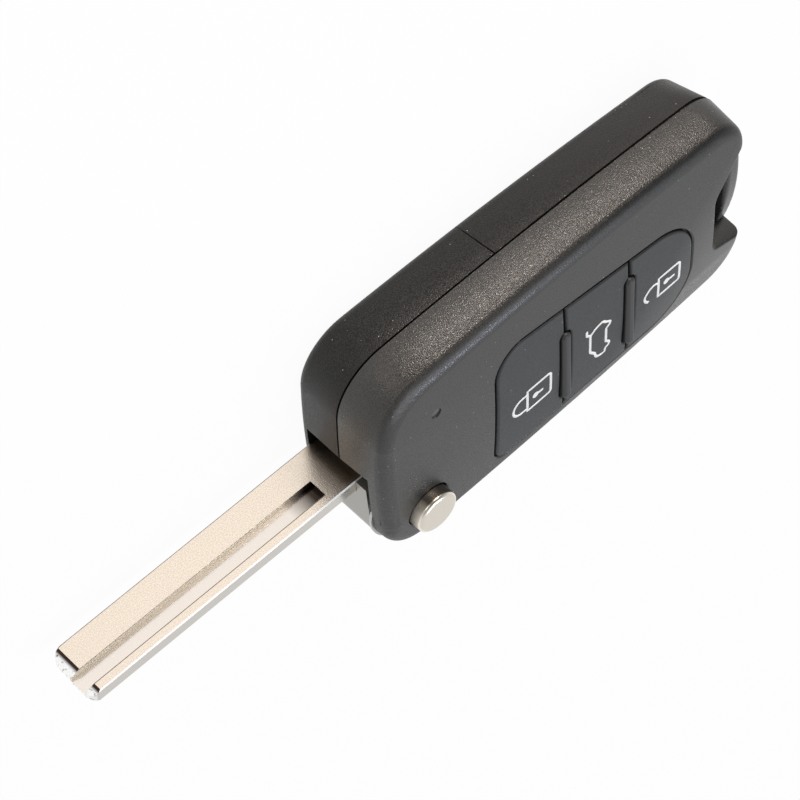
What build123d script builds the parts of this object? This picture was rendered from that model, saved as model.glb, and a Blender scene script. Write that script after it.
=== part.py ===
from build123d import *
from math import radians, tan
import os

# Flip key remote shell, blade open. Millimetres. It lies on its flat back (z = 0) with the
# buttons up, the blade along +X and the folding channel on the +Y side. The origin is the
# centre of the back.

# Case
case_length = 71.0
case_width = 37.4
case_depth = 16.6
parting_z = 8.2
blade_end_width = 35.8
tail_end_width = 33.8
blade_end_bow = 0.9
tail_end_bow = 0.8
widest_x = 5.0
blade_near_r = 8.5
blade_far_r = 7.2
tail_near_r = 5.5
tail_far_r = 7.5
front_edge_r = 2.0
rear_edge_r = 1.5
crown_drop = 0.7
face_tilt = 1.28
tilt_from_end = 10.5
wall = 1.6
front_skin = 1.6
least_skin = 1.2
rear_skin = 1.2
seam_from_middle = 6.2
seam_gap = 0.2
parting_gap = 0.3
parting_gap_depth = 0.7
tail_gap = 0.5

# Pivot, hub and blade
pivot_from_end = 7.9
pivot_from_side = 8.4
hub_r = 7.8
hub_z = 2.0
hub_run = 0.3
hub_inset = 0.2
arm_back = 2.0
arm_reach = 7.8
blade_out = 46.1
blade_thickness = 2.3
blade_z = 1.9
blade_from_pivot = 8.1
tip_back_r = 2.2
tip_front_r = 1.3
tip_ramp_length = 1.6
tip_ramp_depth = 0.7
blade_edge = 0.2
groove_width = 2.95
groove_depth = 1.2
groove_offset = 1.55
groove_start = 4.0
tang_length = 8.6
tang_play = 0.05
pin_r = 0.9
pin_length = 4.6
pin_back = 3.6
pin_inset = 0.2
fit_play = 0.02
fold_clearance = 0.35
channel_wall = 1.5
channel_roof = 0.9
mouth_gap = 3.2
pocket_cover = 3.3

# Release button with its spring and seat
release_r = 3.45
release_run = 0.1
release_proud = 2.1
release_travel = 1.8
release_rim = 0.6
release_hole_gap = 0.25
release_hole_edge = 0.25
collar_r = 4.6
collar_thickness = 0.8
stem_length = 3.1
lug_count = 3
lug_turn = 60
lug_reach = 1.0
lug_width = 1.6
lug_play = 0.15
seat_r = 3.75
spring_room = 5.6
journal_run = 0.05
spring_wire = 0.55
spring_mean_r = 2.9
spring_turns = 5.0
washer_room = 0.5
washer_play = 0.05
washer_rim = 0.1

# Buttons, silicone sheet and tray
pad_from_blade_end = 20.5
pad_from_tail = 11.4
pad_from_near_side = 7.9
pad_tail_rise = 5.2
pad_from_far_side = 3.8
pad_blade_slant = 0.5
pad_corner_near = 5.2
pad_corner_far = 2.6
pad_corner_tail_near = 8.5
pad_corner_tail_far = 8.5
groove_share = (0.35, 0.67)
groove_gap = 0.4
window_edge_r = 0.25
cap_clearance = 0.35
cap_proud = 0.15
cap_edge_r = 0.4
cap_depth = 2.5
cap_flange = 0.4
cap_flange_play = 0.1
flange_reach = 0.7
button_travel = 0.5
ridge_length = 15.4
ridge_width = 1.6
ridge_from_far = 10.5
ridge_proud = 0.7
ridge_play = 0.25
sheet_thickness = 0.5
sheet_margin = 0.95
dome_r = 2.4
dome_top_r = 1.6
dome_gap = 0.55
dome_height = 0.35
tray_plate = 0.6
tray_rim = 0.7
side_lean = 0.9
tray_play = 0.1

# Tail: ring slot, bar and the notch over it
slot_width = 4.3
slot_length = 15.0
slot_y = 1.2
slot_wall = 1.6
bar_thickness = 2.7
bar_drop = 3.2
bar_arch_r = 45.0
bar_peak_shift = -4.8
bar_edge_r = 0.9
notch_near = 4.9
notch_far = 7.0
notch_near_flare = 1.33
notch_far_flare = 0.3
notch_near_r = 4.0
notch_far_r = 1.8
notch_edge_r = 0.4

# Small parts
led_from_end = 10.3
led_from_side = 8.9
led_r = 0.8
led_recess = 0.15
led_flange_r = 1.5
led_flange = 0.9
led_length = 3.6
led_play = 0.05
screw_from_end = 5.3
screw_from_side = 6.7
screw_from_seam = 3.2
screw_from_edge = 4.5
screw_r = 0.95
screw_head_r = 1.8
screw_head = 1.3
screw_sink = 0.3
screw_cover = 2.4
screw_play = 0.1
boss_r = 2.0
pivot_pad = 0.4
hub_screw_head_r = 1.7
hub_screw_head = 0.7
hub_screw_length = 3.6
chip_from_end = 16.5
chip_from_side = 8.7
chip_r = 2.9
chip_wall = 1.1
chip_below_parting = 0.8
plug_thickness = 1.3
plug_play = 0.05
stop_width = 2.2
stop_depth = 0.9
stop_overlap = 0.5
stop_low = 3.6
stop_high = 7.4
stop_play = 0.1
rib_height = 1.4
rib_width = 0.9
rib_count = 3
rib_step = 9.0
rib_from_seam = 6.0
near_hooks = (10.3, 28.3)
far_hook = 19.3
hook_length = 5.0
hook_width = 1.0
hook_rise = 2.2
hook_gap = 0.5

half_length = case_length / 2
half_width = case_width / 2
seam_x = seam_from_middle
ceiling = case_depth - front_skin
crown_r = (half_width - front_edge_r) ** 2 / (2 * crown_drop)
tilt_x = half_length - tilt_from_end
pivot_x = half_length - pivot_from_end
pivot_y = half_width - pivot_from_side
pocket_top = case_depth - pocket_cover
hub_top = pocket_top - washer_room
stem_bottom = pocket_top - stem_length
seat_top = stem_bottom - spring_room
bore_r = seat_r + journal_run
cap_bottom = case_depth - cap_depth
sheet_top = cap_bottom - dome_gap - dome_height
sheet_bottom = sheet_top - sheet_thickness
sheet_side = tray_rim + 2 * tray_play
tray_bottom = sheet_bottom - tray_plate
channel_top = tray_bottom - tray_play - channel_roof
blade_top = channel_top - fold_clearance
blade_width = blade_top - blade_z
blade_face_y = pivot_y - blade_from_pivot
blade_back_y = blade_face_y + blade_thickness
channel_low = blade_z - fold_clearance + 0.05
folded_inner_y = 2 * pivot_y - blade_back_y
channel_y = folded_inner_y - fold_clearance
blade_tip_x = half_length + blade_out
channel_tail_x = 2 * pivot_x - blade_tip_x - 1.0
pad_blade_x = half_length - pad_from_blade_end
pad_tail_x = pad_from_tail - half_length
pad_near_y = pad_from_near_side - half_width
pad_near_tail_y = pad_near_y + pad_tail_rise
pad_far_y = half_width - pad_from_far_side
groove_x = [pad_blade_x + (pad_tail_x - pad_blade_x) * share for share in groove_share]
ridge_y = pad_far_y - ridge_from_far
slot_tail_x = bar_thickness - half_length
slot_head_x = slot_tail_x + slot_width
bar_top = case_depth - bar_drop
led_x = half_length - led_from_end
led_y = led_from_side - half_width
screw_places = (
    (half_length - screw_from_end, screw_from_side - half_width),
    (seam_x + screw_from_seam, screw_from_edge - half_width),
)
screw_length = case_depth - screw_cover - front_skin - screw_sink
chip_x = half_length - chip_from_end
chip_y = chip_from_side - half_width
chip_top = parting_z - chip_below_parting
far = 60.0

# How much further in the outline lies at the back and at the front face than at the parting
# line: blade end, blade end of the sides, middle, tail end of the sides, tail end.
back_lean = (0.05, 0.4, 1.4, 2.4, 0.4)
front_lean = (0.4, 0.9, 1.0, 1.1, 0.45)
level = (0.0, 0.0, 0.0, 0.0, 0.0)


def span(x0, x1, y0, y1, z0, z1):
    """A block between two corners."""
    return Pos((x0 + x1) / 2, (y0 + y1) / 2, (z0 + z1) / 2) * Box(x1 - x0, y1 - y0, z1 - z0)


def disc(x, y, radius, z0, z1):
    """An upright cylinder from z0 to z1."""
    return Pos(x, y, (z0 + z1) / 2) * Cylinder(radius, z1 - z0)


def rounded(face, corners, radii):
    """A flat face with each of its corners given its own radius."""
    for corner, radius in zip(corners, radii):
        nearest = face.vertices().sort_by_distance(Vector(*corner, 0))[0]
        face = fillet(nearest, max(radius, 1.0))
    return face


def plan(inset, lean=level):
    """The case outline at the parting line, drawn in all round by inset and more by each lean."""
    end_in, head_in, middle_in, tail_in, tail_end_in = [inset + more for more in lean]
    end = half_length - end_in
    tail_end = tail_end_in - half_length
    head = blade_end_width / 2 - head_in
    near = half_width - middle_in
    tail = tail_end_width / 2 - tail_in
    a = (end - blade_end_bow, -head)
    b = (end - blade_end_bow, head)
    c = (tail_end + tail_end_bow, tail)
    d = (tail_end + tail_end_bow, -tail)
    lines = ThreePointArc(a, (end, 0), b)
    lines += ThreePointArc(b, (widest_x, near), c)
    lines += ThreePointArc(c, (tail_end, 0), d)
    lines += ThreePointArc(d, (widest_x, -near), a)
    radii = [r - inset for r in (blade_near_r, blade_far_r, tail_far_r, tail_near_r)]
    return rounded(make_face(lines), (a, b, c, d), radii)


def slot_plan(x, y, length, width):
    """A slot with round ends that runs along Y."""
    return Pos(x, y) * Rot(0, 0, 90) * SlotOverall(length, width)


def pad_window(grow):
    """The outline of the button field, larger all round by grow."""
    corners = [
        (pad_blade_x + grow, pad_far_y + grow),
        (pad_blade_x - pad_blade_slant + grow, pad_near_y - grow),
        (pad_tail_x - grow, pad_near_tail_y - grow),
        (pad_tail_x - grow, pad_far_y + grow),
    ]
    radii = (pad_corner_far, pad_corner_near, pad_corner_tail_near, pad_corner_tail_far)
    return rounded(make_face(Polyline(*corners, close=True)), corners, [r + grow for r in radii])


def under_pad(grow, side):
    """The button field grown for the parts below it, kept inside the cover's walls by side."""
    return pad_window(grow) & plan(wall + side_lean + side)


def raise_plan(face, z0, z1):
    """A flat face pushed up from z0 to z1."""
    return extrude(Pos(0, 0, z0) * face, amount=z1 - z0)


def drafted(inset, z):
    """The outline at the parting line joined to the leaned one at height z."""
    lean = back_lean if z < parting_z else front_lean
    reach = parting_z if z < parting_z else case_depth - parting_z
    share = abs(z - parting_z) / reach
    ends = [Pos(0, 0, parting_z) * plan(inset), Pos(0, 0, z) * plan(inset, [share * v for v in lean])]
    return loft(sorted(ends, key=lambda face: face.center().Z))


def crown(lift):
    """The long cylinder whose top is the front face, tilted down towards the tail, raised by lift."""
    spot = Pos(tilt_x, 0, case_depth + lift - crown_r) * Rot(0, 90 - face_tilt, 0)
    return spot * Cylinder(crown_r, 4 * case_length)


def face_height(x, y):
    """Height of the front face at a place on the case."""
    return case_depth - (tilt_x - x) * tan(radians(face_tilt)) - y ** 2 / (2 * crown_r)


def front_outside():
    """The front half as a full block: leaning sides, crowned face and a soft edge."""
    block = drafted(0, case_depth) & crown(0)
    top = block.faces().sort_by(Axis.Z)[-1]
    return block.fillet(front_edge_r, top.edges())


def rear_outside():
    """The back half as a full block with a round back edge."""
    block = drafted(0, 0)
    back = block.faces().sort_by(Axis.Z)[0]
    return block.fillet(rear_edge_r, back.edges())


def hub_pocket(grow):
    """The room in which hub, arm and blade root swing; grow makes it the block around it."""
    low = channel_low - grow
    high = ceiling + 0.2 if grow else pocket_top
    room = disc(pivot_x, pivot_y, hub_r + hub_run + grow, low, high)
    edge_x = pivot_x - arm_back - hub_run
    arm_room = span(edge_x - grow, far, blade_face_y - mouth_gap - grow, far, low, high)
    fold_x = pivot_x - arm_reach - hub_run
    return room + arm_room + span(fold_x - grow, far, pivot_y - hub_run - grow, far, low, high)


def channel(grow):
    """The open channel along the +Y side that takes the folded blade."""
    high = channel_top + channel_roof if grow else channel_top
    low = channel_low - grow
    return span(channel_tail_x - grow, pivot_x, channel_y - grow, far, low, high)


def ring_slot():
    """The slot behind the bar that takes the key ring."""
    face = slot_plan((slot_tail_x + slot_head_x) / 2, slot_y, slot_length, slot_width)
    return raise_plan(face, -1.0, case_depth + 1.0)


def ring_bar():
    """A wide wheel whose rim is the arched top of the bar across the tail, with soft edges."""
    spot = Pos(slot_tail_x - bar_thickness / 2, slot_y + bar_peak_shift, bar_top - bar_arch_r)
    wheel = spot * Rot(0, 90, 0) * Cylinder(bar_arch_r, bar_thickness)
    return wheel.fillet(bar_edge_r, wheel.edges().filter_by(GeomType.CIRCLE))


def notch_plan():
    """The flared outline of the notch over the ring slot."""
    reach = half_length + slot_head_x + 1.0
    near_y = slot_y - notch_near
    far_y = slot_y + notch_far
    corners = [
        (slot_head_x, near_y),
        (slot_head_x - reach, near_y - notch_near_flare * reach),
        (slot_head_x - reach, far_y + notch_far_flare * reach),
        (slot_head_x, far_y),
    ]
    outline = make_face(Polyline(*corners, close=True))
    return rounded(outline, (corners[0], corners[3]), (notch_near_r, notch_far_r))


def tail_notch():
    """The notch over the ring slot, down to the bar."""
    return raise_plan(notch_plan(), parting_z, case_depth + 1.0) - ring_bar()


def hollow(z):
    """The inside of a case half, kept clear of hub room, channel and ring slot."""
    tail_wall = span(-far, slot_head_x + slot_wall, -far, far, -1.0, case_depth)
    return drafted(wall, z) - hub_pocket(channel_wall) - channel(channel_wall) - tail_wall


def soft_rim(outline, low, edge_r):
    """All that lies under the front face, less an opening down to low with a rounded rim."""
    form = crown(0) - raise_plan(outline, low, case_depth + 1.0)
    face = form.faces().sort_by(SortBy.AREA)[-1]
    return form.fillet(edge_r, [edge for rim in face.inner_wires() for edge in rim.edges()])


def front_cover():
    body = front_outside() - (hollow(ceiling) & crown(-least_skin))
    for x, y in screw_places:
        body += disc(x, y, boss_r, parting_z, ceiling)
    body = body - hub_pocket(0) - channel(0) - tail_notch()
    body &= soft_rim(notch_plan(), bar_top, notch_edge_r)
    body &= soft_rim(pad_window(0), cap_bottom - 1.0, window_edge_r)
    rebate = cap_bottom + cap_flange + cap_flange_play
    body -= raise_plan(pad_window(flange_reach + cap_clearance), cap_bottom - 1.0, rebate)
    hole = Pos(pivot_x, pivot_y) * Circle(release_r + release_hole_gap)
    body &= soft_rim(hole, pocket_top - 1.0, release_hole_edge)
    body -= disc(led_x, led_y, led_r + led_play, cap_bottom - 1.0, case_depth + 1.0)
    for x, y in screw_places:
        body -= disc(x, y, screw_r + fit_play, parting_z - 1.0, screw_sink + screw_length + 1.0)
    return body


def rear_shell():
    """Both back pieces as one block, before the cross seam parts them."""
    body = rear_outside() - hollow(rear_skin)
    body = body - hub_pocket(0) - channel(0) - ring_slot()
    body += disc(pivot_x, pivot_y, hub_r, channel_low - pivot_pad, channel_low)
    low = parting_z - parting_gap
    ring = raise_plan(plan(0) - plan(parting_gap_depth), low - tail_gap, parting_z + 1.0)
    opening = Plane.XZ * make_face(Polyline((seam_x, low), (-far, low - tail_gap), (-far, far),
                                            (far, far), (far, low), close=True))
    return body - (ring & extrude(opening, amount=far, both=True))


def rear_case():
    body = rear_shell() & span(seam_x + seam_gap / 2, far, -far, far, -1.0, parting_z)
    body += span(seam_x + seam_gap / 2, seam_x + wall, wall + hook_gap - half_width,
                 channel_y - hook_gap, rear_skin / 2, parting_z - rib_height)
    for x, y in screw_places:
        body += disc(x, y, boss_r, rear_skin / 2, parting_z)
        body -= disc(x, y, screw_r + screw_play, -1.0, parting_z + 1.0)
        body -= disc(x, y, screw_head_r + screw_play, -1.0, screw_sink + screw_head)
    body += disc(chip_x, chip_y, chip_r + chip_wall, rear_skin / 2, chip_top)
    body -= disc(chip_x, chip_y, chip_r, rear_skin + 0.2, chip_top + 1.0)
    body -= disc(pivot_x, pivot_y, hub_screw_head_r + screw_play, -1.0, hub_screw_head)
    body -= disc(pivot_x, pivot_y, screw_r + screw_play, -1.0, channel_low + 1.0)
    return body - stop_block(0)


def battery_cover():
    body = rear_shell() & span(-far, seam_x - seam_gap / 2, -far, far, -1.0, parting_z)
    for k in range(rib_count):
        x = seam_x - rib_from_seam - k * rib_step
        body += span(x, x + rib_width, wall + 1.0 - half_width, channel_y - hook_gap, rear_skin / 2,
                     rear_skin + rib_height)
    near = wall + hook_gap
    band = raise_plan(plan(near) - plan(near + hook_width), rear_skin / 2, parting_z + hook_rise)
    for back in near_hooks:
        x = seam_x - back
        body += band & span(x, x + hook_length, -far, 0, 0, far)
    inner = channel_y - channel_wall - hook_gap
    x = seam_x - far_hook
    body += span(x, x + hook_length, inner - hook_width, inner, rear_skin / 2, parting_z + hook_rise)
    return body


def strip(x0, x1):
    """The part of the button field between two grooves."""
    width = x1 - x0 - groove_gap
    return Pos((x0 + x1) / 2, 0) * Rectangle(width, 2 * case_width)


def button_cap(x0, x1):
    """A cap with crowned top, notches for the rubber ridges and a flange below the cover."""
    area = strip(x0, x1)
    top = case_depth + cap_proud
    body = raise_plan(pad_window(-cap_clearance) & area, cap_bottom, top + 1.0) & crown(cap_proud)
    skirt = under_pad(flange_reach, sheet_side) & area
    flange = raise_plan(skirt, cap_bottom, cap_bottom + cap_flange)
    for x in groove_x:
        notch = slot_plan(x, ridge_y, ridge_length + 2 * ridge_play, ridge_width + 2 * ridge_play)
        body -= raise_plan(notch, cap_bottom - 1.0, top + 2.0)
        flange -= raise_plan(notch, cap_bottom - 1.0, top + 2.0)
    rim = body.faces().sort_by(Axis.Z)[-1].edges()
    body = body.fillet(cap_edge_r, rim)
    return body + flange


def cap_spans():
    """The ends of the three caps along the case, from the blade to the tail."""
    ends = (pad_blade_x + 5.0, *groove_x, pad_tail_x - 5.0)
    return [(low, high) for high, low in zip(ends, ends[1:])]


def cap_centres():
    """The middle of each cap, where its dome stands."""
    ends = (pad_blade_x, *groove_x, pad_tail_x)
    y = (pad_near_y + pad_far_y) / 2
    return [((a + b) / 2, y) for a, b in zip(ends, ends[1:])]


def keypad_membrane():
    body = raise_plan(under_pad(sheet_margin, sheet_side), sheet_bottom, sheet_top)
    dome_top = cap_bottom - dome_gap
    for x, y in cap_centres():
        body += Pos(x, y, (sheet_top + dome_top) / 2) * Cone(dome_r, dome_top_r, dome_top - sheet_top)
    for x in groove_x:
        ridge_top = face_height(x, ridge_y) + ridge_proud
        ridge = raise_plan(slot_plan(x, ridge_y, ridge_length, ridge_width), sheet_bottom, ridge_top)
        rim = ridge.faces().sort_by(Axis.Z)[-1].edges()
        body += ridge.fillet(ridge_width * 0.4, rim)
    return body


def board_tray():
    outer = under_pad(sheet_margin + tray_rim, tray_play)
    body = raise_plan(outer, tray_bottom, ceiling) & crown(-least_skin - tray_play)
    bed = under_pad(sheet_margin + tray_play, sheet_side - tray_play)
    body -= raise_plan(bed, sheet_bottom, ceiling + 1.0)
    for x, y in cap_centres():
        body -= disc(x, y, dome_top_r, tray_bottom - 1.0, ceiling)
    return body


def led_window():
    top = face_height(led_x, led_y) - led_recess
    pipe = disc(led_x, led_y, led_r, top - led_length, top)
    return pipe + disc(led_x, led_y, led_flange_r, ceiling - led_flange, ceiling)


def lug_ring(grow, z0, z1):
    """The lugs round the release button's collar, grown a little for the slots they run in."""
    reach = collar_r + lug_reach + grow
    half = lug_width / 2 + grow
    one = span(0, reach, -half, half, z0, z1)
    turns = [lug_turn + k * 360 / lug_count for k in range(lug_count)]
    return [Pos(pivot_x, pivot_y) * Rot(0, 0, turn) * one for turn in turns]


def release_button():
    collar_top = pocket_top - washer_play
    top = face_height(pivot_x, pivot_y) + release_proud
    body = disc(pivot_x, pivot_y, release_r, stem_bottom, top)
    rim = body.faces().sort_by(Axis.Z)[-1].edges()
    body = body.fillet(release_rim, rim)
    body += disc(pivot_x, pivot_y, seat_r, stem_bottom, collar_top)
    body += disc(pivot_x, pivot_y, collar_r, collar_top - collar_thickness, collar_top)
    for one in lug_ring(0, collar_top - collar_thickness, collar_top):
        body += one
    return body


def flip_hub():
    arm_end = pivot_x + arm_reach
    body = disc(pivot_x, pivot_y, hub_r, hub_z, hub_top)
    body += span(pivot_x - arm_back, arm_end, blade_face_y, pivot_y, hub_z, hub_top)
    body = body & raise_plan(plan(hub_inset), 0, case_depth)
    body -= span(arm_end - tang_length - tang_play, far, -far, blade_back_y + tang_play, -1.0,
                 blade_top + tang_play)
    collar_low = pocket_top - washer_play - collar_thickness - release_travel - tang_play
    body -= disc(pivot_x, pivot_y, bore_r, -1.0, far)
    body -= disc(pivot_x, pivot_y, collar_r + release_run, collar_low, far)
    for one in lug_ring(lug_play, collar_low, hub_top + 1.0):
        body -= one
    return body - pin_solid(fit_play)


def pin_solid(play):
    """The roll pin, square to the blade's face, that crosses the tang."""
    y = blade_face_y + pin_inset + pin_length / 2
    spot = Pos(pivot_x + arm_reach - pin_back, y, blade_z + blade_width / 2)
    return spot * Rot(90, 0, 0) * Cylinder(pin_r + play, pin_length + 2 * play)


def key_blade():
    x0 = pivot_x + arm_reach - tang_length
    outline = make_face(Polyline((x0, blade_z), (blade_tip_x, blade_z), (blade_tip_x, blade_top),
                                 (x0, blade_top), close=True))
    corners = ((blade_tip_x, blade_z), (blade_tip_x, blade_top))
    side = Plane.XZ * rounded(outline, corners, (tip_back_r, tip_front_r))
    body = extrude(side, amount=blade_thickness, dir=(0, 1, 0)).moved(Location((0, blade_face_y, 0)))
    faces = body.faces().sort_by(Axis.Y)
    body = body.chamfer(blade_edge, None, faces[0].edges() + faces[-1].edges())
    middle = blade_z + blade_width / 2
    start = half_length + groove_start
    for face_y, inward in ((blade_face_y, 1), (blade_back_y, -1)):
        ramp_x = blade_tip_x - tip_ramp_length
        tip_y = face_y + inward * tip_ramp_depth
        ramp = make_face(Polyline((ramp_x, face_y), (blade_tip_x, tip_y), (far * 2, tip_y),
                                  (far * 2, face_y - inward), (ramp_x, face_y - inward), close=True))
        body -= raise_plan(ramp, blade_z - 1.0, blade_top + 1.0)
    for face_y, inward in ((blade_face_y, 1), (blade_back_y, -1)):
        z = middle + inward * groove_offset
        y0, y1 = sorted((face_y - inward, face_y + inward * groove_depth))
        body -= span(start, far * 2, y0, y1, z - groove_width / 2, z + groove_width / 2)
    return body - pin_solid(fit_play)


def blade_pin():
    return pin_solid(0)


def flip_spring():
    low = seat_top + spring_wire / 2 + fit_play
    high = stem_bottom - spring_wire / 2 - fit_play
    path = Helix((high - low) / spring_turns, high - low, spring_mean_r)
    coil = sweep(Plane(path @ 0, z_dir=path % 0) * Circle(spring_wire / 2), path, is_frenet=True)
    return Pos(pivot_x, pivot_y, low) * coil


def spring_seat():
    body = disc(pivot_x, pivot_y, seat_r, channel_low, seat_top)
    return body - disc(pivot_x, pivot_y, screw_r + fit_play, 0, hub_screw_length + fit_play)


def hub_screw():
    head = disc(pivot_x, pivot_y, hub_screw_head_r, screw_play, hub_screw_head)
    return head + disc(pivot_x, pivot_y, screw_r, hub_screw_head / 2, hub_screw_length)


def thrust_washer():
    bore = collar_r + lug_reach + 2 * lug_play
    low = hub_top + washer_play
    ring = disc(pivot_x, pivot_y, hub_r - washer_rim, low, pocket_top)
    return ring - disc(pivot_x, pivot_y, bore, 0, far)


def stop_block(play):
    """The rubber stop that the arm meets when the blade is out."""
    x1 = pivot_x - arm_back - stop_play
    x0 = x1 - (hub_run - stop_play) - stop_depth
    y0 = blade_face_y - stop_width + stop_overlap
    y1 = y0 + stop_width
    return span(x0 - play, x1 + play, y0 - play, y1 + play, stop_low - play, stop_high + play)


def transponder_plug():
    return disc(chip_x, chip_y, chip_r - plug_play, chip_top - plug_thickness, chip_top)


def case_screws():
    group = []
    for x, y in screw_places:
        head = disc(x, y, screw_head_r, screw_sink, screw_sink + screw_head)
        group.append(head + disc(x, y, screw_r, screw_sink + screw_head / 2, screw_sink + screw_length))
    return Compound(children=group)


def build_all():
    spans = cap_spans()
    return {
        "front_cover": front_cover(),
        "rear_case": rear_case(),
        "battery_cover": battery_cover(),
        "lock_button": button_cap(*spans[0]),
        "trunk_button": button_cap(*spans[1]),
        "unlock_button": button_cap(*spans[2]),
        "keypad_membrane": keypad_membrane(),
        "board_tray": board_tray(),
        "led_window": led_window(),
        "release_button": release_button(),
        "flip_hub": flip_hub(),
        "key_blade": key_blade(),
        "blade_pin": blade_pin(),
        "flip_spring": flip_spring(),
        "spring_seat": spring_seat(),
        "hub_screw": hub_screw(),
        "thrust_washer": thrust_washer(),
        "blade_stop": stop_block(0),
        "transponder_plug": transponder_plug(),
        "case_screws": case_screws(),
    }


os.makedirs("parts", exist_ok=True)
for name, solid in build_all().items():
    export_step(solid, f"parts/{name}.step")
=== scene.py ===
import math

import bmesh
import bpy
from mathutils import Matrix, Vector
from mathutils.bvhtree import BVHTree


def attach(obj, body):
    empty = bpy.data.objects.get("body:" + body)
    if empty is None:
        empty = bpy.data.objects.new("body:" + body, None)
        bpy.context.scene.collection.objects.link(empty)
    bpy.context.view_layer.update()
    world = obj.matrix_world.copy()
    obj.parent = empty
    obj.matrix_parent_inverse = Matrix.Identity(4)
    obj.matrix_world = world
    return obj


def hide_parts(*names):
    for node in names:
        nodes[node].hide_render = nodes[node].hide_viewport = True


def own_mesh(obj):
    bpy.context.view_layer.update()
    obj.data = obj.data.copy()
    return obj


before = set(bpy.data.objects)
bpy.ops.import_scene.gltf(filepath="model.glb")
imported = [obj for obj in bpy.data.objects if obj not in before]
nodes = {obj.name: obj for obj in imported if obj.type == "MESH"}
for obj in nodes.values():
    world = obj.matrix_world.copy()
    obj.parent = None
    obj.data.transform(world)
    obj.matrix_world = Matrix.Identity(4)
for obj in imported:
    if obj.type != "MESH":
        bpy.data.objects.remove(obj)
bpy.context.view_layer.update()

# Case: a front cover with the button face, and a back of two pieces, of which the one at the
# tail comes off for the cell. All three are black ABS, moulded in steel that spark erosion has
# pitted. Two screws hold them together at the blade end, and hooks hold them at the tail.

MM = 0.001


def linear(code):
    """An sRGB hex colour as linear light, by the sRGB rule."""
    parts = [int(code[i:i + 2], 16) / 255 for i in (0, 2, 4)]
    return [c / 12.92 if c <= 0.04045 else ((c + 0.055) / 1.055) ** 2.4 for c in parts] + [1.0]


def add(tree, kind, sockets=None, **settings):
    """A node with its settings. An input goes by its name or number, and takes a value, the
    output of a node, or a node, which then gives its first output that is in use."""
    made = tree.nodes.new(kind)
    for name, value in settings.items():
        setattr(made, name, value)
    for key, value in (sockets or {}).items():
        if isinstance(key, int):
            taking = made.inputs[key]
        else:
            taking = next(s for s in made.inputs if s.enabled and s.name == key)
        if isinstance(value, bpy.types.Node):
            value = next(s for s in value.outputs if s.enabled)
        if isinstance(value, bpy.types.NodeSocket):
            tree.links.new(value, taking)
        else:
            taking.default_value = value
    return made


def start_material(name):
    """An empty node material, and the Object coordinates that its patterns read."""
    made = bpy.data.materials.new(name)
    made.use_nodes = True
    made.node_tree.nodes.clear()
    place = add(made.node_tree, "ShaderNodeTexCoord").outputs["Object"]
    return made, made.node_tree, place


def end_material(tree, **sockets):
    """The surface shader of a material and its output."""
    named = {name.replace("_", " "): value for name, value in sockets.items()}
    shader = add(tree, "ShaderNodeBsdfPrincipled", named)
    add(tree, "ShaderNodeOutputMaterial", {"Surface": shader})


def dress(name, material):
    """Gives a CAD node its finish."""
    piece = nodes[name]
    piece.data.materials.clear()
    piece.data.materials.append(material)


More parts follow.
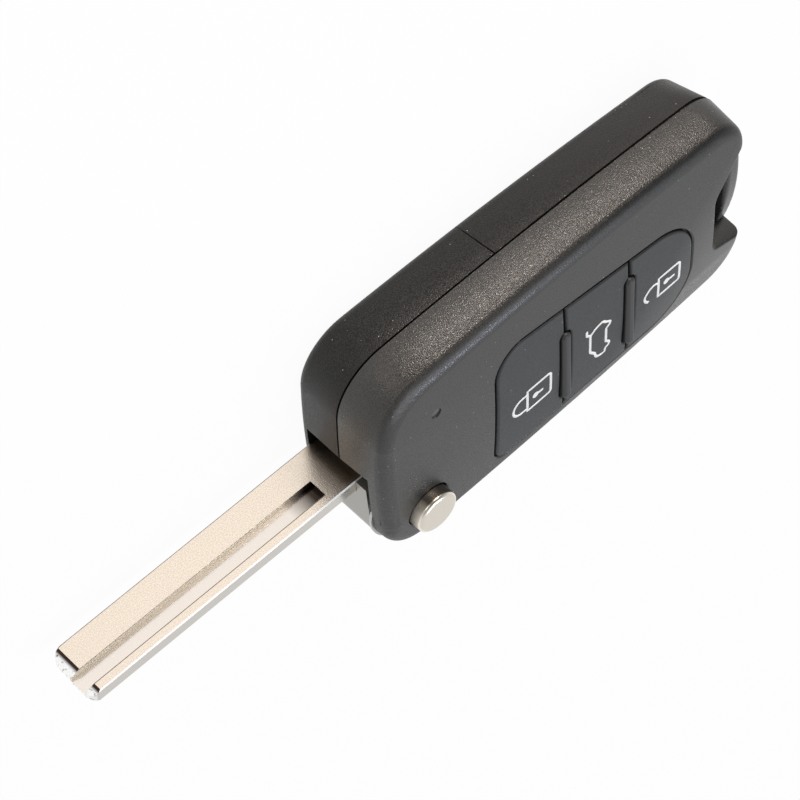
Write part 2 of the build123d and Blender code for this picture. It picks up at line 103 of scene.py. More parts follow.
def grained_plastic(name, colour, tone, painted_tail_tone, fleck_and_glint, grain, relief, shine, gloss=0.5, swell=0.0, apex=0.0):
    """Black ABS as the mould leaves it. colour and tone lie in clouds, a paler tone of painted light takes
    over towards the tail, and pale flecks of grain colour and painted glints show on the tops of the grain.
    grain and relief are its width and height, shine is the roughness and gloss the strength of the
    reflection, and swell is how much the walls bow out round the height apex."""
    made, tree, place = start_material(name)
    at = add(tree, "ShaderNodeSeparateXYZ", {"Vector": place}).outputs
    normal = add(tree, "ShaderNodeTexCoord").outputs["Normal"]
    facing = add(tree, "ShaderNodeSeparateXYZ", {"Vector": normal}).outputs

    # The resin isn't quite even, in soft clouds about 5 mm wide, and towards the tail a paler tone is
    # painted in, a painted light.
    cloud = 5 * MM
    clouds = add(tree, "ShaderNodeTexNoise", {"Vector": place, "Scale": 1 / cloud, "Detail": 3.0})
    skin = add(tree, "ShaderNodeMix", {"Factor": clouds, "A": linear(colour), "B": linear(tone)},
               data_type="RGBA")
    tailward = add(tree, "ShaderNodeMapRange",
                   {"Value": at["X"], "From Min": 2 * MM, "From Max": -36 * MM})
    skin = add(tree, "ShaderNodeMix", {"Factor": tailward, "A": skin, "B": linear(painted_tail_tone)},
               data_type="RGBA")

    # Where the case is level, its far corner at the tail is painted paler, a painted highlight.
    corner = add(tree, "ShaderNodeMath", {0: at["Y"], 1: at["X"]}, operation="SUBTRACT")
    corner = add(tree, "ShaderNodeMapRange",
                 {"Value": corner, "From Min": 20 * MM, "From Max": 42 * MM})
    level = add(tree, "ShaderNodeMapRange", {"Value": facing["Z"], "From Min": 0.7, "From Max": 0.95})
    toned_patch = add(tree, "ShaderNodeMath", {0: corner, 1: level}, operation="MULTIPLY")
    skin = add(tree, "ShaderNodeMix", {"Factor": toned_patch, "A": skin, "B": linear("5e5e5c")},
               data_type="RGBA")

    # The round edge between side and face is painted darker over the tail half, a painted shade.
    off_side = add(tree, "ShaderNodeMapRange", {"Value": facing["Z"], "From Min": 0.2, "From Max": 0.4})
    off_face = add(tree, "ShaderNodeMapRange", {"Value": facing["Z"], "From Min": 0.99, "From Max": 0.75})
    behind = add(tree, "ShaderNodeMapRange",
                 {"Value": at["X"], "From Min": 14 * MM, "From Max": -16 * MM})
    edge = add(tree, "ShaderNodeMath", {0: off_side, 1: off_face}, operation="MULTIPLY")
    edge = add(tree, "ShaderNodeMath", {0: edge, 1: behind}, operation="MULTIPLY")
    skin = add(tree, "ShaderNodeMix", {"Factor": edge, "A": skin, "B": linear("111111")},
               data_type="RGBA")

    # The grain is full on the sides, and nearly lost on the face and at the end of the tail.
    upright = add(tree, "ShaderNodeMapRange", {"Value": facing["Z"], "From Min": 0.15, "From Max": 0.5,
                                               "To Min": 1.0, "To Max": 0.0})
    before_end = add(tree, "ShaderNodeMapRange",
                     {"Value": at["X"], "From Min": -34 * MM, "From Max": -28.5 * MM})
    side = add(tree, "ShaderNodeMath", {0: upright, 1: before_end}, operation="MULTIPLY")
    # On the sides the tops of the grain are painted paler: grain colour with painted glints where the light
    # falls.
    fine = add(tree, "ShaderNodeTexNoise", {"Vector": place, "Scale": 1 / grain, "Detail": 0.5})
    tops = add(tree, "ShaderNodeMapRange", {"Value": fine, "From Min": 0.47, "From Max": 0.57})
    tops = add(tree, "ShaderNodeMath", {0: tops, 1: side}, operation="MULTIPLY")
    skin = add(tree, "ShaderNodeMix", {"Factor": tops, "A": skin, "B": linear(fleck_and_glint)}, data_type="RGBA")

    # Dust: one cell of 1 mm in four holds a pale speck, at most 0.14 mm wide.
    cell, speck_radius, left_clean = 1 * MM, 0.07, 0.76
    cells = add(tree, "ShaderNodeTexVoronoi", {"Vector": place, "Scale": 1 / cell}).outputs
    speck = add(tree, "ShaderNodeMath", {0: cells["Distance"], 1: speck_radius}, operation="LESS_THAN")
    chance = add(tree, "ShaderNodeSeparateColor", {"Color": cells["Color"]})
    picked = add(tree, "ShaderNodeMath", {0: chance, 1: left_clean}, operation="GREATER_THAN")
    dust = add(tree, "ShaderNodeMath", {0: speck, 1: picked}, operation="MULTIPLY")
    skin = add(tree, "ShaderNodeMix", {"Factor": dust, "A": skin, "B": linear("a8a6a2")},
               data_type="RGBA")
    rough = add(tree, "ShaderNodeMapRange", {"Value": fine, "From Min": 0.35, "From Max": 0.65,
                                             "To Min": shine - 0.08, "To Max": shine + 0.12})

    # Heights in metres: the grain, the bow of the walls, and the far side, which rolls away
    # more and more towards the tail.
    depth = add(tree, "ShaderNodeMapRange", {"Value": side, "To Min": 0.08, "To Max": 1.0})
    height = add(tree, "ShaderNodeMath", {0: fine, 1: depth}, operation="MULTIPLY")
    height = add(tree, "ShaderNodeMath", {0: height, 1: relief}, operation="MULTIPLY")
    off_apex = add(tree, "ShaderNodeMath", {0: at["Z"], 1: apex}, operation="SUBTRACT")
    bow = add(tree, "ShaderNodeMath", {0: off_apex, 1: 2.0}, operation="POWER")
    height = add(tree, "ShaderNodeMath", {0: bow, 1: -swell, 2: height}, operation="MULTIPLY_ADD")
    far = add(tree, "ShaderNodeMath", {0: at["Y"], 1: 11 * MM}, operation="SUBTRACT")
    far = add(tree, "ShaderNodeMath", {0: far, 1: 0.0}, operation="MAXIMUM")
    roll = add(tree, "ShaderNodeMath", {0: far, 1: 2.0}, operation="POWER")
    rolled = add(tree, "ShaderNodeMapRange", {"Value": at["X"], "From Min": 2 * MM,
                                              "From Max": -26 * MM, "To Max": -1.5 * swell})
    height = add(tree, "ShaderNodeMath", {0: roll, 1: rolled, 2: height}, operation="MULTIPLY_ADD")
    bump = add(tree, "ShaderNodeBump", {"Height": height, "Distance": 1.0})

    # Near the blade the side draws in a little, so it looks more towards the blade.
    lean = add(tree, "ShaderNodeMapRange", {"Value": at["X"], "From Min": 21 * MM,
                                            "From Max": 37 * MM, "To Max": 0.5})
    lean = add(tree, "ShaderNodeMath", {0: lean, 1: side}, operation="MULTIPLY")
    lean = add(tree, "ShaderNodeCombineXYZ", {"X": lean})
    leaning = add(tree, "ShaderNodeVectorMath", {0: bump, 1: lean}, operation="ADD")
    leaning = add(tree, "ShaderNodeVectorMath", {0: leaning}, operation="NORMALIZE")
    end_material(tree, Base_Color=skin, Roughness=rough, Normal=leaning, Specular_IOR_Level=gloss)
    return made


# The mould's grain breaks the light on the sides into small warm points, partly painted as pale flecks on
# the grain, and leaves the face a soft dark grey. A real grain is about 0.05 mm wide, and is drawn three
# times as wide to show.
case_abs = grained_plastic("abs_black_spark_eroded", colour="2a2a2a", tone="2e2d2c", painted_tail_tone="2c2c2b",
                           fleck_and_glint="3c3935", grain=0.16 * MM, relief=0.07 * MM, shine=0.33, gloss=0.5,
                           swell=42.0, apex=10.3 * MM)
dress("front_cover", case_abs)

# The back comes from another mould with a deeper grain; it is painted blacker than the front cover, a
# painted shade, and it shines less.
shaded_back_abs = grained_plastic("abs_black_spark_eroded_painted_shade", colour="131313", tone="171616",
                           painted_tail_tone="2b2a29", fleck_and_glint="2c2a28", grain=0.18 * MM, relief=0.08 * MM,
                           shine=0.38, gloss=0.26, swell=45.0, apex=4.8 * MM)
for name in ("rear_case", "battery_cover"):
    dress(name, shaded_back_abs)

# Button caps: three ABS caps in the pad window of the front cover. Each has a flange under the
# rim of the window, and is pressed down on a dome of the silicone sheet.

# A finer mould gives an even matte that is a little bluer than the case round it.
button_abs = grained_plastic("abs_black_fine_matte", colour="25272a", tone="292b2e", painted_tail_tone="292b2e",
                             fleck_and_glint="292b2e", grain=0.12 * MM, relief=0.012 * MM, shine=0.5)
for name in ("lock_button", "trunk_button", "unlock_button"):
    dress(name, button_abs)

# Printed signs: a closed padlock, a car with its boot lid up and an open padlock, one on each
# cap. A silicone pad lays the white ink on, so it follows the crown of the cap. Each sign is
# a few strokes, given by their corners in mm from the middle of the case.

ink_width = 0.46 * MM
ink_film = 0.02 * MM

# Two-part ink dries to a clean white with a dull, slightly mottled sheen.
ink_white, tree, place = start_material("pad_print_white_ink")
mottle = add(tree, "ShaderNodeTexNoise", {"Vector": place, "Scale": 1 / (0.3 * MM)})
dull = add(tree, "ShaderNodeMapRange", {"Value": mottle, "To Min": 0.35, "To Max": 0.5})
end_material(tree, Base_Color=linear("eceeee"), Roughness=dull)


def arc(x, y, radius, start, end, count=12):
    """Points round part of a circle, in mm; angles from +X towards +Y."""
    turns = [math.radians(start + (end - start) * k / count) for k in range(count + 1)]
    return [(x + radius * math.cos(t), y + radius * math.sin(t)) for t in turns]


padlock = [
    [(8.85, 2.75), (8.85, 7.6), (4.85, 7.6)] + arc(4.85, 7.05, 0.55, 90, 180)
    + arc(4.85, 3.35, 0.55, 180, 270) + [(4.85, 2.8), (8.85, 2.75)],
    [(8.85, 6.95)] + arc(9.85, 5.2, 1.72, 90, -90, 20) + [(8.85, 3.5)],
    [(6.9, 5.22), (5.8, 5.28)],
]
open_padlock = [
    [(-17.0, 2.8), (-17.0, 7.15), (-20.75, 7.15)] + arc(-20.75, 6.65, 0.5, 90, 180)
    + arc(-20.75, 3.4, 0.5, 180, 270) + [(-20.75, 2.9), (-17.0, 2.8)],
    [(-17.0, 3.88), (-16.4, 3.45), (-15.9, 3.4), (-15.3, 3.6), (-14.8, 4.0), (-14.35, 4.48),
     (-14.22, 5.04), (-14.38, 5.71), (-14.74, 6.2), (-15.1, 6.52)],
    [(-18.9, 5.0), (-20.25, 5.08)],
]
car = [
    [(-3.4, 2.56), (-3.75, 2.12), (-4.26, 1.74), (-4.88, 1.51), (-5.7, 1.38), (-6.0, 1.52),
     (-6.42, 2.05), (-6.84, 2.37), (-7.25, 2.7), (-7.35, 2.96), (-7.25, 3.31), (-6.9, 3.55),
     (-6.54, 3.79), (-6.57, 7.0), (-6.88, 7.33), (-7.24, 7.76), (-7.3, 8.12), (-7.09, 8.47),
     (-6.68, 8.65), (-6.48, 8.85), (-6.44, 9.5), (-5.77, 9.5), (-5.15, 9.29), (-4.78, 8.96),
     (-4.57, 8.54), (-4.41, 7.82), (-4.1, 7.39), (-3.69, 6.86), (-3.48, 6.54), (-3.42, 6.13),
     (-3.4, 2.56)],
    [(-3.5, 2.37), (-2.93, 1.88), (-2.7, 1.61), (-2.7, 0.6)],
]


def on_cap(cap, x, y):
    """The place on a cap's crowned top under a point in mm."""
    over_part = 30 * MM
    surface = BVHTree.FromObject(nodes[cap], bpy.context.evaluated_depsgraph_get())
    return surface.ray_cast(Vector((x * MM, y * MM, over_part)), Vector((0, 0, -1)))[0]


def start_tree(name, sizes):
    """An empty node tree that takes a mesh, a material and named sizes, and what it is given."""
    tree = bpy.data.node_groups.new(name, "GeometryNodeTree")
    tree.interface.new_socket("Geometry", in_out="INPUT", socket_type="NodeSocketGeometry")
    tree.interface.new_socket("Material", in_out="INPUT", socket_type="NodeSocketMaterial")
    for size in sizes:
        tree.interface.new_socket(size, in_out="INPUT", socket_type="NodeSocketFloat")
    tree.interface.new_socket("Geometry", in_out="OUTPUT", socket_type="NodeSocketGeometry")
    return tree, add(tree, "NodeGroupInput").outputs


def end_tree(tree, shape, material):
    """Ends a tree: its copies are made real and get their material."""
    real = add(tree, "GeometryNodeRealizeInstances", {"Geometry": shape})
    clad = add(tree, "GeometryNodeSetMaterial", {"Geometry": real, "Material": material})
    add(tree, "NodeGroupOutput", {"Geometry": clad})


def grow(points, name, tree, values):
    """Runs a node tree on a mesh and keeps the plain mesh that comes out."""
    seed = bpy.data.objects.new(name + "_seed", points)
    bpy.context.scene.collection.objects.link(seed)
    modifier = seed.modifiers.new("nodes", "NODES")
    modifier.node_group = tree
    for item in tree.interface.items_tree:
        if item.in_out == "INPUT" and item.name in values:
            modifier[item.identifier] = values[item.name]
    bpy.context.view_layer.update()
    shape = bpy.data.meshes.new_from_object(seed.evaluated_get(bpy.context.evaluated_depsgraph_get()))
    seed.modifiers.clear()
    bpy.data.objects.remove(seed)
    shape.name = name
    made = bpy.data.objects.new(name, shape)
    bpy.context.scene.collection.objects.link(made)
    return made


# The drawn strokes become a flat ribbon of ink that stays level across.
ink_tree, given = start_tree("ink_strokes", ("Width", "Film"))
stroke = add(ink_tree, "GeometryNodeMeshToCurve", {"Mesh": given["Geometry"]})
stroke = add(ink_tree, "GeometryNodeSetCurveNormal", {"Curve": stroke}, mode="Z_UP")
section = add(ink_tree, "GeometryNodeCurvePrimitiveQuadrilateral",
              {"Width": given["Width"], "Height": given["Film"]})
ribbon = add(ink_tree, "GeometryNodeCurveToMesh",
             {"Curve": stroke, "Profile Curve": section, "Fill Caps": True})
end_tree(ink_tree, ribbon, given["Material"])


def printed_sign(name, cap, body, strokes, keyhole=None):
    """One sign: its strokes in steps short enough to follow the crown, and the round top of its
    keyhole, as the place and radius in mm."""
    longest_step = 0.5
    drawn = bmesh.new()
    for stroke in strokes:
        points = []
        for (x0, y0), (x1, y1) in zip(stroke, stroke[1:]):
            steps = max(1, int(math.hypot(x1 - x0, y1 - y0) / longest_step))
            points += [(x0 + (x1 - x0) * k / steps, y0 + (y1 - y0) * k / steps) for k in range(steps)]
        closed = stroke[0] == stroke[-1]
        if not closed:
            points.append(stroke[-1])
        corners = [drawn.verts.new(on_cap(cap, x, y) + Vector((0, 0, ink_film / 2))) for x, y in points]
        following = corners[1:] + corners[:1] if closed else corners[1:]
        for corner, other in zip(corners, following):
            drawn.edges.new((corner, other))
    mesh = bpy.data.meshes.new(name)
    drawn.to_mesh(mesh)
    drawn.free()
    made = grow(mesh, name, ink_tree, {"Width": ink_width, "Film": ink_film, "Material": ink_white})
    if keyhole:
        x, y, radius = keyhole
        sunk, proud = ink_film / 4, ink_film * 1.2
        joined = bmesh.new()
        joined.from_mesh(made.data)
        rim = [on_cap(cap, *at) for at in arc(x, y, radius, 0, 360, 24)[:-1]]
        low = [joined.verts.new(p - Vector((0, 0, sunk))) for p in rim]
        high = [joined.verts.new(p + Vector((0, 0, proud))) for p in rim]
        joined.faces.new(high)
        joined.faces.new(low[::-1])
        for k in range(len(rim)):
            n = (k + 1) % len(rim)
            joined.faces.new((low[k], low[n], high[n], high[k]))
        joined.to_mesh(made.data)
        joined.free()
    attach(made, body)


printed_sign("padlock_sign", "lock_button", "lock_key", padlock, keyhole=(7.25, 5.2, 0.58))
printed_sign("car_sign", "trunk_button", "trunk_key", car)
printed_sign("open_padlock_sign", "unlock_button", "unlock_key", open_padlock, keyhole=(-18.6, 4.98, 0.56))

# Silicone sheet and blade stop, moulded in black silicone rubber. The sheet lies on the tray,
# with a dome under each cap and two ridges that stand between the caps. The stop is a block in
# a pocket of the back, and the hub's arm meets it when the blade is out.

# Rubber swallows most of the light and leaves a soft bloom, without any grain to speak of.
silicone, tree, place = start_material("silicone_black_moulded")
bloom = add(tree, "ShaderNodeTexNoise", {"Vector": place, "Scale": 1 / (0.2 * MM)})
bump = add(tree, "ShaderNodeBump", {"Height": bloom, "Distance": 0.01 * MM})
end_material(tree, Base_Color=linear("2a2b2c"), Roughness=0.5, Normal=bump)
for name in ("keypad_membrane", "blade_stop"):
    dress(name, silicone)

# Tray and chip cap, moulded in black polypropylene. The tray carries the circuit board and the
# sheet, up against ribs of the front cover. The cap closes the small chamber of the chip.

# Polypropylene looks waxy, with a broad sheen that drifts where the melt has flowed, in bands
# about 1.5 mm wide.
tray_pp, tree, place = start_material("polypropylene_black_moulded")
flow = add(tree, "ShaderNodeTexNoise", {"Vector": place, "Scale": 1 / (1.5 * MM)})
waxy = add(tree, "ShaderNodeMapRange", {"Value": flow, "To Min": 0.35, "To Max": 0.5})
end_material(tree, Base_Color=linear("1e1f20"), Roughness=waxy)
for name in ("board_tray", "transponder_plug"):
    dress(name, tray_pp)

# Signal window: a short light pipe of smoked polycarbonate. It is pushed into its hole from
# inside until its flange meets the front cover, and its face ends just below the skin.

# Polished and dark, it reads as a small wet dot, a little glossier than the case.
smoked, tree, place = start_material("polycarbonate_smoked_polished")
haze = add(tree, "ShaderNodeTexNoise", {"Vector": place, "Scale": 1 / (0.5 * MM)})
polished = add(tree, "ShaderNodeMapRange", {"Value": haze, "To Min": 0.15, "To Max": 0.3})
end_material(tree, Base_Color=linear("4a4648"), Roughness=polished)
dress("led_window", smoked)

# Release button: turned from brass bar and chrome plated. It stands in the hub on the flip
# spring, comes up through the front cover, and frees the blade when it is pressed.

# Chrome over brass mirrors the room, a little blurred where fingers have wiped it. The barrel keeps its
# turning marks, so it is duller, and where it looks away from the blade it is painted dark, a painted
# shade.
chrome, tree, place = start_material("brass_bright_chrome_plated")
normal = add(tree, "ShaderNodeTexCoord").outputs["Normal"]
facing = add(tree, "ShaderNodeSeparateXYZ", {"Vector": normal}).outputs
wiped = add(tree, "ShaderNodeTexNoise", {"Vector": place, "Scale": 1 / (0.8 * MM), "Detail": 3.0})
blur = add(tree, "ShaderNodeMapRange", {"Value": wiped, "To Min": 0.14, "To Max": 0.26})
barrel = add(tree, "ShaderNodeMapRange", {"Value": facing["Z"], "From Min": 0.5, "From Max": 0.1,
                                          "To Max": 1.0})
blur = add(tree, "ShaderNodeMath", {0: barrel, 1: 0.2, 2: blur}, operation="MULTIPLY_ADD")
shaded = add(tree, "ShaderNodeMapRange", {"Value": facing["X"], "From Min": 0.8, "From Max": 0.35})
shaded = add(tree, "ShaderNodeMath", {0: shaded, 1: barrel}, operation="MULTIPLY")
plating_and_shade = add(tree, "ShaderNodeMix", {"Factor": shaded, "A": linear("e9e2d6"), "B": linear("6a665f")},
              data_type="RGBA")
end_material(tree, Base_Color=plating_and_shade, Metallic=1.0, Roughness=blur)
dress("release_button", chrome)

# Hub: a zinc die casting, tumbled and satin nickel plated. It turns between the washer under
# the front cover and the spring's seat in the back, and its slot takes the blade's tang.

# Tumbling leaves fine dents about 0.15 mm wide, so the plating shows grey light, no mirror.
zinc, tree, place = start_material("zinc_die_cast_satin_nickel")
dents = add(tree, "ShaderNodeTexNoise", {"Vector": place, "Scale": 1 / (0.15 * MM), "Detail": 2.0})
satin = add(tree, "ShaderNodeMapRange", {"Value": dents, "To Min": 0.32, "To Max": 0.45})
bump = add(tree, "ShaderNodeBump", {"Height": dents, "Distance": 0.01 * MM})
end_material(tree, Base_Color=linear("a3a09a"), Metallic=1.0, Roughness=satin, Normal=bump)
dress("flip_hub", zinc)

# Blade: cut from brass strip, with a groove milled along each side, then nickel plated. It is
# an uncut blank. Its tang sits in the hub's slot and is held there by the roll pin.

blade_side = nodes["key_blade"].bound_box[0][1]
blade_top = nodes["key_blade"].bound_box[1][2]
groove_low, groove_high = 6.05 * MM, 9.42 * MM
groove_start = 39.5 * MM

# Brass shines through the nickel as a warm cream, and the tumbled skin glitters in grains. They
# are drawn 0.17 mm wide, three times the real width, because finer ones don't show.
nickel, tree, place = start_material("brass_satin_nickel_plated")
at = add(tree, "ShaderNodeSeparateXYZ", {"Vector": place}).outputs
normal = add(tree, "ShaderNodeTexCoord").outputs["Normal"]
facing = add(tree, "ShaderNodeSeparateXYZ", {"Vector": normal}).outputs
grain = add(tree, "ShaderNodeTexNoise", {"Vector": place, "Scale": 1 / (0.17 * MM), "Detail": 1.0})
crisp = add(tree, "ShaderNodeMapRange", {"Value": grain, "From Min": 0.4, "From Max": 0.6})
plate = add(tree, "ShaderNodeMix", {"Factor": crisp, "A": linear("f0dfcc"), "B": linear("fff2e2")},
            data_type="RGBA")

# The floor of the groove is smoother and whiter than the side that was left as rolled.
deep = add(tree, "ShaderNodeMath", {0: at["Y"], 1: blade_side + 0.15 * MM}, operation="GREATER_THAN")
plate = add(tree, "ShaderNodeMix", {"Factor": deep, "A": plate, "B": linear("f6ece2")}, data_type="RGBA")

# The lower bevel is painted dark, a painted shade, and a thin grey line of painted shade runs along the top
# of the groove.
painted_under_shade = add(tree, "ShaderNodeMath", {0: facing["Z"], 1: -0.6, 2: 0.3}, operation="COMPARE")
plate = add(tree, "ShaderNodeMix", {"Factor": painted_under_shade, "A": plate, "B": linear("4c453f")}, data_type="RGBA")
painted_groove_line = add(tree, "ShaderNodeMath", {0: at["Z"], 1: groove_high, 2: 0.06 * MM}, operation="COMPARE")
along = add(tree, "ShaderNodeMath", {0: at["X"], 1: groove_start}, operation="GREATER_THAN")
painted_groove_line = add(tree, "ShaderNodeMath", {0: painted_groove_line, 1: along}, operation="MULTIPLY")
plate = add(tree, "ShaderNodeMix", {"Factor": painted_groove_line, "A": plate, "B": linear("7d756c")}, data_type="RGBA")

# Just outside the case the plating is rubbed towards the brass, in grains.
toned_patch = add(tree, "ShaderNodeMapRange",
             {"Value": at["X"], "From Min": 38.0 * MM, "From Max": 35.4 * MM})
outside = add(tree, "ShaderNodeMapRange",
              {"Value": at["X"], "From Min": 34.0 * MM, "From Max": 35.0 * MM})
toned_patch = add(tree, "ShaderNodeMath", {0: toned_patch, 1: outside}, operation="MULTIPLY")
speckled = add(tree, "ShaderNodeMapRange", {"Value": crisp, "To Min": 0.35, "To Max": 1.0})
toned_patch = add(tree, "ShaderNodeMath", {0: toned_patch, 1: speckled}, operation="MULTIPLY")
plate = add(tree, "ShaderNodeMix", {"Factor": toned_patch, "A": plate, "B": linear("c4ae98")},
            data_type="RGBA")

# The upper bevel is painted white, a painted highlight, and the narrow faces that look up are painted a
# cooler silver, as the light falls on them.
painted_bevel_highlight = add(tree, "ShaderNodeMath", {0: facing["Z"], 1: 0.55, 2: 0.25}, operation="COMPARE")
plate = add(tree, "ShaderNodeMix", {"Factor": painted_bevel_highlight, "A": plate, "B": linear("ffffff")}, data_type="RGBA")
upward = add(tree, "ShaderNodeMath", {0: facing["Z"], 1: 0.8}, operation="GREATER_THAN")
plate = add(tree, "ShaderNodeMix", {"Factor": upward, "A": plate, "B": linear("ddd9d3")}, data_type="RGBA")

# In the groove the lower flank is painted pale, a painted light, and matte, and the cutter's run-out at the
# case is painted dark, a painted shade.
below_top = add(tree, "ShaderNodeMath", {0: at["Z"], 1: blade_top - 0.5 * MM}, operation="LESS_THAN")
flank = add(tree, "ShaderNodeMath", {0: deep, 1: upward}, operation="MULTIPLY")
flank = add(tree, "ShaderNodeMath", {0: flank, 1: below_top}, operation="MULTIPLY")
plate = add(tree, "ShaderNodeMix", {"Factor": flank, "A": plate, "B": linear("efefe9")}, data_type="RGBA")
painted_runout_shade = add(tree, "ShaderNodeMapRange",
              {"Value": at["X"], "From Min": 44.5 * MM, "From Max": 40.5 * MM})
above_low = add(tree, "ShaderNodeMath", {0: at["Z"], 1: groove_low}, operation="GREATER_THAN")
painted_runout_shade = add(tree, "ShaderNodeMath", {0: deep, 1: painted_runout_shade}, operation="MULTIPLY")
painted_runout_shade = add(tree, "ShaderNodeMath", {0: painted_runout_shade, 1: above_low}, operation="MULTIPLY")
painted_runout_shade = add(tree, "ShaderNodeMath", {0: painted_runout_shade, 1: below_top}, operation="MULTIPLY")
plate = add(tree, "ShaderNodeMix", {"Factor": painted_runout_shade, "A": plate, "B": linear("4a4038")},
            data_type="RGBA")

# The tip's ramp is painted near white, a painted glint, with a painted dark line where it starts and
# painted dark blots across it.
tip = add(tree, "ShaderNodeMapRange", {"Value": facing["X"], "From Min": 0.15, "From Max": 0.35})
line = add(tree, "ShaderNodeMapRange",
           {"Value": at["X"], "From Min": 80.75 * MM, "From Max": 80.35 * MM})
blots = add(tree, "ShaderNodeTexNoise", {"Vector": place, "Scale": 1 / (0.45 * MM), "Detail": 1.0})
painted_tip_shade = add(tree, "ShaderNodeMapRange", {"Value": blots, "From Min": 0.56, "From Max": 0.8})
painted_tip_shade = add(tree, "ShaderNodeMath", {0: painted_tip_shade, 1: line}, operation="MAXIMUM")
painted_tip_shade = add(tree, "ShaderNodeMath", {0: tip, 1: painted_tip_shade}, operation="MULTIPLY")
plate = add(tree, "ShaderNodeMix", {"Factor": tip, "A": plate, "B": linear("fbfbfa")}, data_type="RGBA")
plate = add(tree, "ShaderNodeMix", {"Factor": painted_tip_shade, "A": plate, "B": linear("3a2e26")}, data_type="RGBA")

# Each grain is a small facet; bevel and flank are matte, and the groove's floor is smooth.
satin = add(tree, "ShaderNodeMapRange", {"Value": grain, "To Min": 0.14, "To Max": 0.3})
matte = add(tree, "ShaderNodeMath", {0: flank, 1: painted_bevel_highlight}, operation="MAXIMUM")
satin = add(tree, "ShaderNodeMath", {0: matte, 1: 0.45, 2: satin}, operation="MULTIPLY_ADD")
faceted = add(tree, "ShaderNodeMapRange", {"Value": deep, "To Min": 1.0, "To Max": 0.12})
bump = add(tree, "ShaderNodeBump", {"Strength": faceted, "Height": grain, "Distance": 0.015 * MM})
end_material(tree, Base_Color=plate, Metallic=1.0, Roughness=satin, Normal=bump)
dress("key_blade", nickel)

# Roll pin, thrust washer and spring seat: small rolled, stamped and turned parts of zinc plated
# steel. The pin is driven through hub and tang, the washer lies loose on the hub, and the seat
# is held in the back by its screw.

# Thin zinc on steel gives a pale even grey, brighter and duller in patches of 0.3 mm.
steel, tree, place = start_material("steel_bright_zinc_plated")
patches = add(tree, "ShaderNodeTexNoise", {"Vector": place, "Scale": 1 / (0.3 * MM), "Detail": 2.0})
bright = add(tree, "ShaderNodeMapRange", {"Value": patches, "To Min": 0.22, "To Max": 0.4})
end_material(tree, Base_Color=linear("b9bab8"), Metallic=1.0, Roughness=bright)
for name in ("blade_pin", "thrust_washer", "spring_seat"):
    dress(name, steel)

# Screws: cold headed steel with a cross recess, their heads sunk in the back. Two go through
# the back into bosses of the front cover, and a short one holds the spring seat. The sizes
# are in mm, and the short one stands on the pivot of the blade.

pivot_x, pivot_y = 27.6, 10.3
shank_radius = 0.95
screw_sizes = ("Head Radius", "Head Height", "Shank Radius", "Length", "Recess")
screw_tree, given = start_tree("cross_recess_screws", screw_sizes)


def round_bar(tree, radius, low, high, sides):
    """A round bar between two heights of a screw."""
    tall = add(tree, "ShaderNodeMath", {0: high, 1: low}, operation="SUBTRACT")
    middle = add(tree, "ShaderNodeMath", {0: tall, 1: 0.5, 2: low}, operation="MULTIPLY_ADD")
    bar = add(tree, "GeometryNodeMeshCylinder", {"Vertices": sides, "Radius": radius, "Depth": tall})
    lift = add(tree, "ShaderNodeCombineXYZ", {"Z": middle})
    return add(tree, "GeometryNodeTransform", {"Geometry": bar, "Translation": lift})


# A point carries the head's outer face, and the shank goes up from there.
half_head = add(screw_tree, "ShaderNodeMath", {0: given["Head Height"], 1: 0.5}, operation="MULTIPLY")
head = round_bar(screw_tree, given["Head Radius"], 0.0, given["Head Height"], 40)
shank = round_bar(screw_tree, given["Shank Radius"], half_head, given["Length"], 24)
whole = add(screw_tree, "GeometryNodeMeshBoolean", operation="UNION")
for bar in (head, shank):
    screw_tree.links.new(bar.outputs[0], whole.inputs["Mesh 2"])

# The recess is two crossed slots, cut to its depth below the head's face.
across = add(screw_tree, "ShaderNodeMath", {0: given["Head Radius"], 1: 1.25}, operation="MULTIPLY")
narrow = add(screw_tree, "ShaderNodeMath", {0: given["Head Radius"], 1: 0.3}, operation="MULTIPLY")
twice_deep = add(screw_tree, "ShaderNodeMath", {0: given["Recess"], 1: 2.0}, operation="MULTIPLY")
driven = add(screw_tree, "GeometryNodeMeshBoolean", {"Mesh 1": whole}, operation="DIFFERENCE")
for wide_x, wide_y in ((across, narrow), (narrow, across)):
    size = add(screw_tree, "ShaderNodeCombineXYZ", {"X": wide_x, "Y": wide_y, "Z": twice_deep})
    slot = add(screw_tree, "GeometryNodeMeshCube", {"Size": size})
    screw_tree.links.new(slot.outputs[0], driven.inputs["Mesh 2"])
copies = add(screw_tree, "GeometryNodeInstanceOnPoints",
             {"Points": given["Geometry"], "Instance": driven})
end_tree(screw_tree, copies, given["Material"])


def drive_screws(name, node, body, places, head_radius, head_height, length, recess):
    """Screws at places in mm that move with a body, in the stead of a CAD node."""
    points = bpy.data.meshes.new(name)
    points.from_pydata([(x * MM, y * MM, z * MM) for x, y, z in places], [], [])
    made = grow(points, name, screw_tree, {
        "Material": steel, "Head Radius": head_radius * MM, "Head Height": head_height * MM,
        "Shank Radius": shank_radius * MM, "Length": length * MM, "Recess": recess * MM})
    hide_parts(node)
    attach(made, body)


drive_screws("back_screws", "case_screws", "case", ((30.2, -12.0, 0.3), (9.4, -14.2, 0.3)),
             head_radius=1.8, head_height=1.3, length=12.0, recess=0.8)
drive_screws("seat_screw", "hub_screw", "case", ((pivot_x, pivot_y, 0.1),),
             head_radius=1.7, head_height=0.6, length=3.4, recess=0.4)

# Flip spring: steel spring wire, cold coiled. It stands on the seat inside the hub, throws the
# blade out and lifts the release button, which presses it shorter.

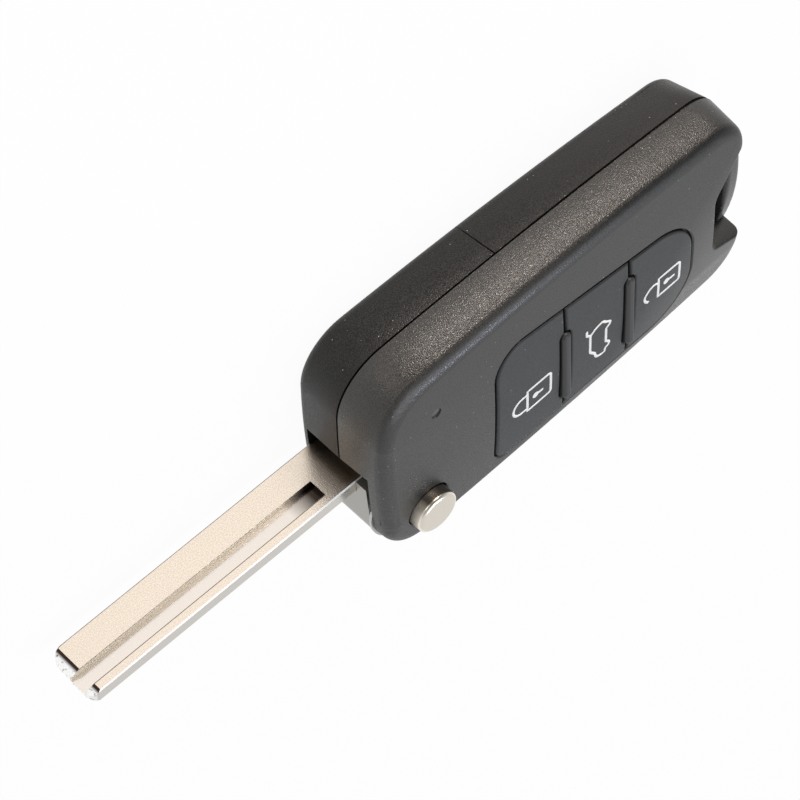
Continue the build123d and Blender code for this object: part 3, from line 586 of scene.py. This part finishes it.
coil_foot = 4.9
coil_tree, given = start_tree("coiled_wire", ("Mean Radius", "Rise", "Turns", "Wire Radius"))
path = add(coil_tree, "GeometryNodeCurveSpiral", {
    "Resolution": 40, "Rotations": given["Turns"], "Start Radius": given["Mean Radius"],
    "End Radius": given["Mean Radius"], "Height": given["Rise"]})
section = add(coil_tree, "GeometryNodeCurvePrimitiveCircle",
              {"Resolution": 12, "Radius": given["Wire Radius"]})
wire = add(coil_tree, "GeometryNodeCurveToMesh",
           {"Curve": path, "Profile Curve": section, "Fill Caps": True})
copies = add(coil_tree, "GeometryNodeInstanceOnPoints", {"Points": given["Geometry"], "Instance": wire})
end_tree(coil_tree, copies, given["Material"])

foot = bpy.data.meshes.new("coil_foot")
foot.from_pydata([(pivot_x * MM, pivot_y * MM, coil_foot * MM)], [], [])
coil = grow(foot, "flip_coil", coil_tree, {
    "Material": steel, "Mean Radius": 2.9 * MM, "Rise": 5.0 * MM, "Turns": 5.0, "Wire Radius": 0.275 * MM})
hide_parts("flip_spring")
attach(coil, "blade_unit")
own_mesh(coil)

# Table: a wide sheet of matte white paper that the part lies on. It is set just under the part,
# so that the two faces don't flicker, and it carries the soft shadow.

sheet_half = 3.0
under_part = 0.05 * MM
seen_glow = 0.95
mirrored_glow = 0.82

# To the eye, and a little less to the metal, it glows as overlit paper does, and only a trace of
# the part's shadow is left. For all other light it is plain paper.
floor_paper, tree, place = start_material("floor_white_paper")
ray = add(tree, "ShaderNodeLightPath").outputs
to_eye = add(tree, "ShaderNodeMath", {0: ray["Is Camera Ray"], 1: seen_glow}, operation="MULTIPLY")
to_gloss = add(tree, "ShaderNodeMath", {0: ray["Is Glossy Ray"], 1: mirrored_glow}, operation="MULTIPLY")
share = add(tree, "ShaderNodeMath", {0: to_eye, 1: to_gloss}, operation="MAXIMUM")
paper = add(tree, "ShaderNodeBsdfDiffuse", {"Color": linear("e8e8e8")})
glow = add(tree, "ShaderNodeEmission", {"Color": linear("ffffff"), "Strength": 1.0})
both = add(tree, "ShaderNodeMixShader", {0: share, 1: paper, 2: glow})
add(tree, "ShaderNodeOutputMaterial", {"Surface": both})

sheet = bpy.data.meshes.new("floor")
corners = [(x * sheet_half, y * sheet_half, -under_part) for x, y in ((-1, -1), (1, -1), (1, 1), (-1, 1))]
sheet.from_pydata(corners, [], [(0, 1, 2, 3)])
sheet.materials.append(floor_paper)
floor = bpy.data.objects.new("floor", sheet)
bpy.context.scene.collection.objects.link(floor)

# Light: a white tent, darker overhead and towards the near side, and four soft panels. One
# lights the near side of the case, one the blade, one the round upper edge, and one the face.

world = bpy.data.worlds.new("studio")
bpy.context.scene.world = world
world.use_nodes = True
tent = world.node_tree
tent.nodes.clear()
way = add(tent, "ShaderNodeTexCoord").outputs["Generated"]
towards = add(tent, "ShaderNodeSeparateXYZ", {"Vector": way}).outputs
overhead = add(tent, "ShaderNodeMapRange", {"Value": towards["Z"], "From Min": 0.0, "From Max": 0.42,
                                            "To Min": 1.0, "To Max": 0.74})
near_side = add(tent, "ShaderNodeMapRange", {"Value": towards["Y"], "From Min": -0.8, "From Max": 0.2,
                                             "To Min": 0.22, "To Max": 1.05})
strength = add(tent, "ShaderNodeMath", {0: overhead, 1: near_side}, operation="MULTIPLY")
light = add(tent, "ShaderNodeBackground", {"Color": linear("ffffff"), "Strength": strength})
add(tent, "ShaderNodeOutputWorld", {"Surface": light})


def soft_panel(name, place, aim, size, watts, colour):
    """A panel of light of a width and a height that looks at a point, in metres."""
    data = bpy.data.lights.new(name, "AREA")
    data.shape = "RECTANGLE"
    data.size, data.size_y = size
    data.energy = watts
    data.color = linear(colour)[:3]
    made = bpy.data.objects.new(name, data)
    made.location = place
    made.rotation_euler = (Vector(aim) - Vector(place)).to_track_quat("-Z", "Y").to_euler()
    bpy.context.scene.collection.objects.link(made)


soft_panel("key_front", place=(-0.08, -0.25, 0.042), aim=(0.0, -0.02, 0.012), size=(0.05, 0.03),
           watts=0.48, colour="fff2e8")
soft_panel("blade_side", place=(0.6, -0.8, 0.1), aim=(0.03, 0, 0.01), size=(0.4, 0.18),
           watts=1.6, colour="fff6ea")
soft_panel("edge", place=(-0.107, 0.112, 0.318), aim=(0.014, -0.018, 0.0155), size=(0.06, 0.03),
           watts=0.105, colour="dfeaff")
soft_panel("over", place=(-0.1, 0.1, 1.2), aim=(0.0, 0, 0.0), size=(0.8, 0.8),
           watts=4.75, colour="f4f7ff")

# Camera: a long lens that looks down on the near side from beyond the blade's tip, turned so
# that the blade comes down to the left. Its lens, place and turn come from a fit to the photo.

eye = bpy.data.cameras.new("camera")
eye.lens = 159.25
eye.sensor_width = 36.0
eye.clip_start = 0.01
eye.clip_end = 10.0
camera = bpy.data.objects.new("camera", eye)
right = (-0.7285, 0.0434, 0.6836)
up = (-0.5919, -0.5423, -0.5963)
back = (0.3448, -0.8391, 0.4208)
turned = Matrix((right, up, back)).transposed().to_4x4()
camera.matrix_world = Matrix.Translation((0.18706, -0.39898, 0.20666)) @ turned
bpy.context.scene.collection.objects.link(camera)
bpy.context.scene.camera = camera
bpy.context.scene.view_settings.view_transform = "Standard"
